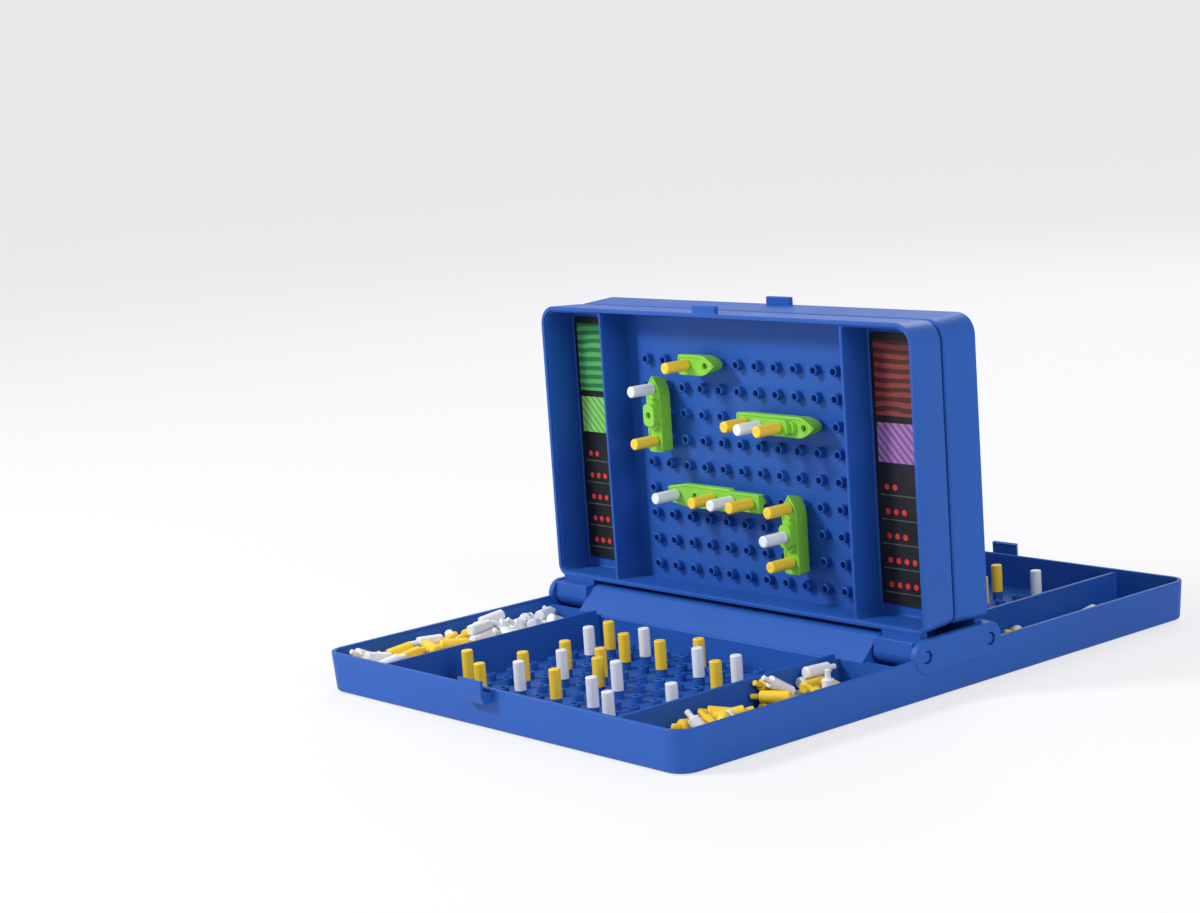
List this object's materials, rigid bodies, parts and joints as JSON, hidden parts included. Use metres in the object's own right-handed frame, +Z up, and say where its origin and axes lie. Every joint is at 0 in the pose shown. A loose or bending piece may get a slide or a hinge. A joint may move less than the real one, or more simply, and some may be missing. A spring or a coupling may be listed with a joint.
{
  "type": "fleet guessing game case",
  "caption": "Folding plastic game case: a long base tray with two hinged upright lids, peg-hole boards and side trays, with plug-in ships and pegs.",
  "frame": {"origin": "centre of the base's underside, midway between the two hinge axes, on the table", "axes": "+X along the hinges, to the front player's right; +Y to the rear player; +Z up"},
  "size_m": [0.2368, 0.3268, 0.1601],
  "materials": {
    "case_blue": "moulded royal blue plastic, satin gloss",
    "ship_green": "moulded lime green plastic",
    "peg_yellow": "moulded yellow plastic",
    "peg_white": "moulded white plastic",
    "card_print": "printed coated card"
  },
  "bodies": {
    "base": {"base_tray": "case_blue"},
    "front_lid": {"lid_front": "case_blue", "card_front_left": "card_print", "card_front_right": "card_print"},
    "rear_lid": {"lid_rear": "case_blue", "card_rear_left": "card_print", "card_rear_right": "card_print"},
    "ship_front_five_hole": {"ship_front_five_hole": "ship_green"},
    "ship_front_four_hole": {"ship_front_four_hole": "ship_green"},
    "ship_front_three_hole_a": {"ship_front_three_hole_a": "ship_green"},
    "ship_front_three_hole_b": {"ship_front_three_hole_b": "ship_green"},
    "ship_front_two_hole": {"ship_front_two_hole": "ship_green"},
    "ship_rear_five_hole": {"ship_rear_five_hole": "ship_green"},
    "ship_rear_four_hole": {"ship_rear_four_hole": "ship_green"},
    "ship_rear_three_hole_a": {"ship_rear_three_hole_a": "ship_green"},
    "ship_rear_three_hole_b": {"ship_rear_three_hole_b": "ship_green"},
    "ship_rear_two_hole": {"ship_rear_two_hole": "ship_green"},
    "peg_front_base_01": {"peg_front_base_01": "peg_yellow"},
    "peg_front_base_02": {"peg_front_base_02": "peg_yellow"},
    "peg_front_base_03": {"peg_front_base_03": "peg_white"},
    "peg_front_base_04": {"peg_front_base_04": "peg_yellow"},
    "peg_front_base_05": {"peg_front_base_05": "peg_yellow"},
    "peg_front_base_06": {"peg_front_base_06": "peg_white"},
    "peg_front_base_07": {"peg_front_base_07": "peg_yellow"},
    "peg_front_base_08": {"peg_front_base_08": "peg_white"},
    "peg_front_base_09": {"peg_front_base_09": "peg_yellow"},
    "peg_front_base_10": {"peg_front_base_10": "peg_yellow"},
    "peg_front_base_11": {"peg_front_base_11": "peg_yellow"},
    "peg_front_base_12": {"peg_front_base_12": "peg_white"},
    "peg_front_base_13": {"peg_front_base_13": "peg_yellow"},
    "peg_front_base_14": {"peg_front_base_14": "peg_white"},
    "peg_front_base_15": {"peg_front_base_15": "peg_white"},
    "peg_front_base_16": {"peg_front_base_16": "peg_white"},
    "peg_front_base_17": {"peg_front_base_17": "peg_yellow"},
    "peg_front_base_18": {"peg_front_base_18": "peg_white"},
    "peg_front_base_19": {"peg_front_base_19": "peg_yellow"},
    "peg_front_base_20": {"peg_front_base_20": "peg_white"},
    "peg_front_base_21": {"peg_front_base_21": "peg_yellow"},
    "peg_front_base_22": {"peg_front_base_22": "peg_white"},
    "peg_front_ship_01": {"peg_front_ship_01": "peg_yellow"},
    "peg_front_ship_02": {"peg_front_ship_02": "peg_yellow"},
    "peg_front_ship_03": {"peg_front_ship_03": "peg_white"},
    "peg_front_ship_04": {"peg_front_ship_04": "peg_yellow"},
    "peg_front_ship_05": {"peg_front_ship_05": "peg_white"},
    "peg_front_ship_06": {"peg_front_ship_06": "peg_yellow"},
    "peg_front_ship_07": {"peg_front_ship_07": "peg_white"},
    "peg_front_ship_08": {"peg_front_ship_08": "peg_yellow"},
    "peg_front_ship_09": {"peg_front_ship_09": "peg_white"},
    "peg_front_ship_10": {"peg_front_ship_10": "peg_yellow"},
    "peg_front_ship_11": {"peg_front_ship_11": "peg_yellow"},
    "peg_front_ship_12": {"peg_front_ship_12": "peg_white"},
    "peg_front_ship_13": {"peg_front_ship_13": "peg_yellow"},
    "peg_rear_base_01": {"peg_rear_base_01": "peg_yellow"},
    "peg_rear_base_02": {"peg_rear_base_02": "peg_yellow"},
    "peg_rear_base_03": {"peg_rear_base_03": "peg_white"},
    "peg_rear_base_04": {"peg_rear_base_04": "peg_white"},
    "peg_rear_base_05": {"peg_rear_base_05": "peg_yellow"},
    "peg_rear_ship_01": {"peg_rear_ship_01": "peg_white"},
    "peg_rear_ship_02": {"peg_rear_ship_02": "peg_yellow"},
    "peg_rear_ship_03": {"peg_rear_ship_03": "peg_white"}
  },
  "joints": [
    {"name": "lid_front_hinge", "type": "hinge", "parent": "base", "child": "front_lid", "pos_m": [0, -0.0197, 0.0182], "axis": [-1, 0, 0], "range_deg": [-90, 0]},
    {"name": "lid_rear_hinge", "type": "hinge", "parent": "base", "child": "rear_lid", "pos_m": [0, 0.0197, 0.0182], "axis": [1, 0, 0], "range_deg": [-90, 0]},
    {"name": "lift_ship_front_five_hole", "type": "slide", "parent": "front_lid", "child": "ship_front_five_hole", "axis": [0, -1, 0], "range_m": [0, 0.02]},
    {"name": "lift_ship_front_four_hole", "type": "slide", "parent": "front_lid", "child": "ship_front_four_hole", "axis": [0, -1, 0], "range_m": [0, 0.02]},
    {"name": "lift_ship_front_three_hole_a", "type": "slide", "parent": "front_lid", "child": "ship_front_three_hole_a", "axis": [0, -1, 0], "range_m": [0, 0.02]},
    {"name": "lift_ship_front_three_hole_b", "type": "slide", "parent": "front_lid", "child": "ship_front_three_hole_b", "axis": [0, -1, 0], "range_m": [0, 0.02]},
    {"name": "lift_ship_front_two_hole", "type": "slide", "parent": "front_lid", "child": "ship_front_two_hole", "axis": [0, -1, 0], "range_m": [0, 0.02]},
    {"name": "lift_ship_rear_five_hole", "type": "slide", "parent": "rear_lid", "child": "ship_rear_five_hole", "axis": [0, 1, 0], "range_m": [0, 0.02]},
    {"name": "lift_ship_rear_four_hole", "type": "slide", "parent": "rear_lid", "child": "ship_rear_four_hole", "axis": [0, 1, 0], "range_m": [0, 0.02]},
    {"name": "lift_ship_rear_three_hole_a", "type": "slide", "parent": "rear_lid", "child": "ship_rear_three_hole_a", "axis": [0, 1, 0], "range_m": [0, 0.02]},
    {"name": "lift_ship_rear_three_hole_b", "type": "slide", "parent": "rear_lid", "child": "ship_rear_three_hole_b", "axis": [0, 1, 0], "range_m": [0, 0.02]},
    {"name": "lift_ship_rear_two_hole", "type": "slide", "parent": "rear_lid", "child": "ship_rear_two_hole", "axis": [0, 1, 0], "range_m": [0, 0.02]},
    {"name": "pull_peg_front_base_01", "type": "slide", "parent": "base", "child": "peg_front_base_01", "axis": [0, 0, 1], "range_m": [0, 0.02]},
    {"name": "pull_peg_front_base_02", "type": "slide", "parent": "base", "child": "peg_front_base_02", "axis": [0, 0, 1], "range_m": [0, 0.02]},
    {"name": "pull_peg_front_base_03", "type": "slide", "parent": "base", "child": "peg_front_base_03", "axis": [0, 0, 1], "range_m": [0, 0.02]},
    {"name": "pull_peg_front_base_04", "type": "slide", "parent": "base", "child": "peg_front_base_04", "axis": [0, 0, 1], "range_m": [0, 0.02]},
    {"name": "pull_peg_front_base_05", "type": "slide", "parent": "base", "child": "peg_front_base_05", "axis": [0, 0, 1], "range_m": [0, 0.02]},
    {"name": "pull_peg_front_base_06", "type": "slide", "parent": "base", "child": "peg_front_base_06", "axis": [0, 0, 1], "range_m": [0, 0.02]},
    {"name": "pull_peg_front_base_07", "type": "slide", "parent": "base", "child": "peg_front_base_07", "axis": [0, 0, 1], "range_m": [0, 0.02]},
    {"name": "pull_peg_front_base_08", "type": "slide", "parent": "base", "child": "peg_front_base_08", "axis": [0, 0, 1], "range_m": [0, 0.02]},
    {"name": "pull_peg_front_base_09", "type": "slide", "parent": "base", "child": "peg_front_base_09", "axis": [0, 0, 1], "range_m": [0, 0.02]},
    {"name": "pull_peg_front_base_10", "type": "slide", "parent": "base", "child": "peg_front_base_10", "axis": [0, 0, 1], "range_m": [0, 0.02]},
    {"name": "pull_peg_front_base_11", "type": "slide", "parent": "base", "child": "peg_front_base_11", "axis": [0, 0, 1], "range_m": [0, 0.02]},
    {"name": "pull_peg_front_base_12", "type": "slide", "parent": "base", "child": "peg_front_base_12", "axis": [0, 0, 1], "range_m": [0, 0.02]},
    {"name": "pull_peg_front_base_13", "type": "slide", "parent": "base", "child": "peg_front_base_13", "axis": [0, 0, 1], "range_m": [0, 0.02]},
    {"name": "pull_peg_front_base_14", "type": "slide", "parent": "base", "child": "peg_front_base_14", "axis": [0, 0, 1], "range_m": [0, 0.02]},
    {"name": "pull_peg_front_base_15", "type": "slide", "parent": "base", "child": "peg_front_base_15", "axis": [0, 0, 1], "range_m": [0, 0.02]},
    {"name": "pull_peg_front_base_16", "type": "slide", "parent": "base", "child": "peg_front_base_16", "axis": [0, 0, 1], "range_m": [0, 0.02]},
    {"name": "pull_peg_front_base_17", "type": "slide", "parent": "base", "child": "peg_front_base_17", "axis": [0, 0, 1], "range_m": [0, 0.02]},
    {"name": "pull_peg_front_base_18", "type": "slide", "parent": "base", "child": "peg_front_base_18", "axis": [0, 0, 1], "range_m": [0, 0.02]},
    {"name": "pull_peg_front_base_19", "type": "slide", "parent": "base", "child": "peg_front_base_19", "axis": [0, 0, 1], "range_m": [0, 0.02]},
    {"name": "pull_peg_front_base_20", "type": "slide", "parent": "base", "child": "peg_front_base_20", "axis": [0, 0, 1], "range_m": [0, 0.02]},
    {"name": "pull_peg_front_base_21", "type": "slide", "parent": "base", "child": "peg_front_base_21", "axis": [0, 0, 1], "range_m": [0, 0.02]},
    {"name": "pull_peg_front_base_22", "type": "slide", "parent": "base", "child": "peg_front_base_22", "axis": [0, 0, 1], "range_m": [0, 0.02]},
    {"name": "pull_peg_front_ship_01", "type": "slide", "parent": "ship_front_two_hole", "child": "peg_front_ship_01", "axis": [0, -1, 0], "range_m": [0, 0.02]},
    {"name": "pull_peg_front_ship_02", "type": "slide", "parent": "ship_front_three_hole_a", "child": "peg_front_ship_02", "axis": [0, -1, 0], "range_m": [0, 0.02]},
    {"name": "pull_peg_front_ship_03", "type": "slide", "parent": "ship_front_three_hole_a", "child": "peg_front_ship_03", "axis": [0, -1, 0], "range_m": [0, 0.02]},
    {"name": "pull_peg_front_ship_04", "type": "slide", "parent": "ship_front_four_hole", "child": "peg_front_ship_04", "axis": [0, -1, 0], "range_m": [0, 0.02]},
    {"name": "pull_peg_front_ship_05", "type": "slide", "parent": "ship_front_four_hole", "child": "peg_front_ship_05", "axis": [0, -1, 0], "range_m": [0, 0.02]},
    {"name": "pull_peg_front_ship_06", "type": "slide", "parent": "ship_front_four_hole", "child": "peg_front_ship_06", "axis": [0, -1, 0], "range_m": [0, 0.02]},
    {"name": "pull_peg_front_ship_07", "type": "slide", "parent": "ship_front_five_hole", "child": "peg_front_ship_07", "axis": [0, -1, 0], "range_m": [0, 0.02]},
    {"name": "pull_peg_front_ship_08", "type": "slide", "parent": "ship_front_five_hole", "child": "peg_front_ship_08", "axis": [0, -1, 0], "range_m": [0, 0.02]},
    {"name": "pull_peg_front_ship_09", "type": "slide", "parent": "ship_front_five_hole", "child": "peg_front_ship_09", "axis": [0, -1, 0], "range_m": [0, 0.02]},
    {"name": "pull_peg_front_ship_10", "type": "slide", "parent": "ship_front_five_hole", "child": "peg_front_ship_10", "axis": [0, -1, 0], "range_m": [0, 0.02]},
    {"name": "pull_peg_front_ship_11", "type": "slide", "parent": "ship_front_three_hole_b", "child": "peg_front_ship_11", "axis": [0, -1, 0], "range_m": [0, 0.02]},
    {"name": "pull_peg_front_ship_12", "type": "slide", "parent": "ship_front_three_hole_b", "child": "peg_front_ship_12", "axis": [0, -1, 0], "range_m": [0, 0.02]},
    {"name": "pull_peg_front_ship_13", "type": "slide", "parent": "ship_front_three_hole_b", "child": "peg_front_ship_13", "axis": [0, -1, 0], "range_m": [0, 0.02]},
    {"name": "pull_peg_rear_base_01", "type": "slide", "parent": "base", "child": "peg_rear_base_01", "axis": [0, 0, 1], "range_m": [0, 0.02]},
    {"name": "pull_peg_rear_base_02", "type": "slide", "parent": "base", "child": "peg_rear_base_02", "axis": [0, 0, 1], "range_m": [0, 0.02]},
    {"name": "pull_peg_rear_base_03", "type": "slide", "parent": "base", "child": "peg_rear_base_03", "axis": [0, 0, 1], "range_m": [0, 0.02]},
    {"name": "pull_peg_rear_base_04", "type": "slide", "parent": "base", "child": "peg_rear_base_04", "axis": [0, 0, 1], "range_m": [0, 0.02]},
    {"name": "pull_peg_rear_base_05", "type": "slide", "parent": "base", "child": "peg_rear_base_05", "axis": [0, 0, 1], "range_m": [0, 0.02]},
    {"name": "pull_peg_rear_ship_01", "type": "slide", "parent": "ship_rear_five_hole", "child": "peg_rear_ship_01", "axis": [0, 1, 0], "range_m": [0, 0.02]},
    {"name": "pull_peg_rear_ship_02", "type": "slide", "parent": "ship_rear_three_hole_a", "child": "peg_rear_ship_02", "axis": [0, 1, 0], "range_m": [0, 0.02]},
    {"name": "pull_peg_rear_ship_03", "type": "slide", "parent": "ship_rear_three_hole_b", "child": "peg_rear_ship_03", "axis": [0, 1, 0], "range_m": [0, 0.02]}
  ]
}
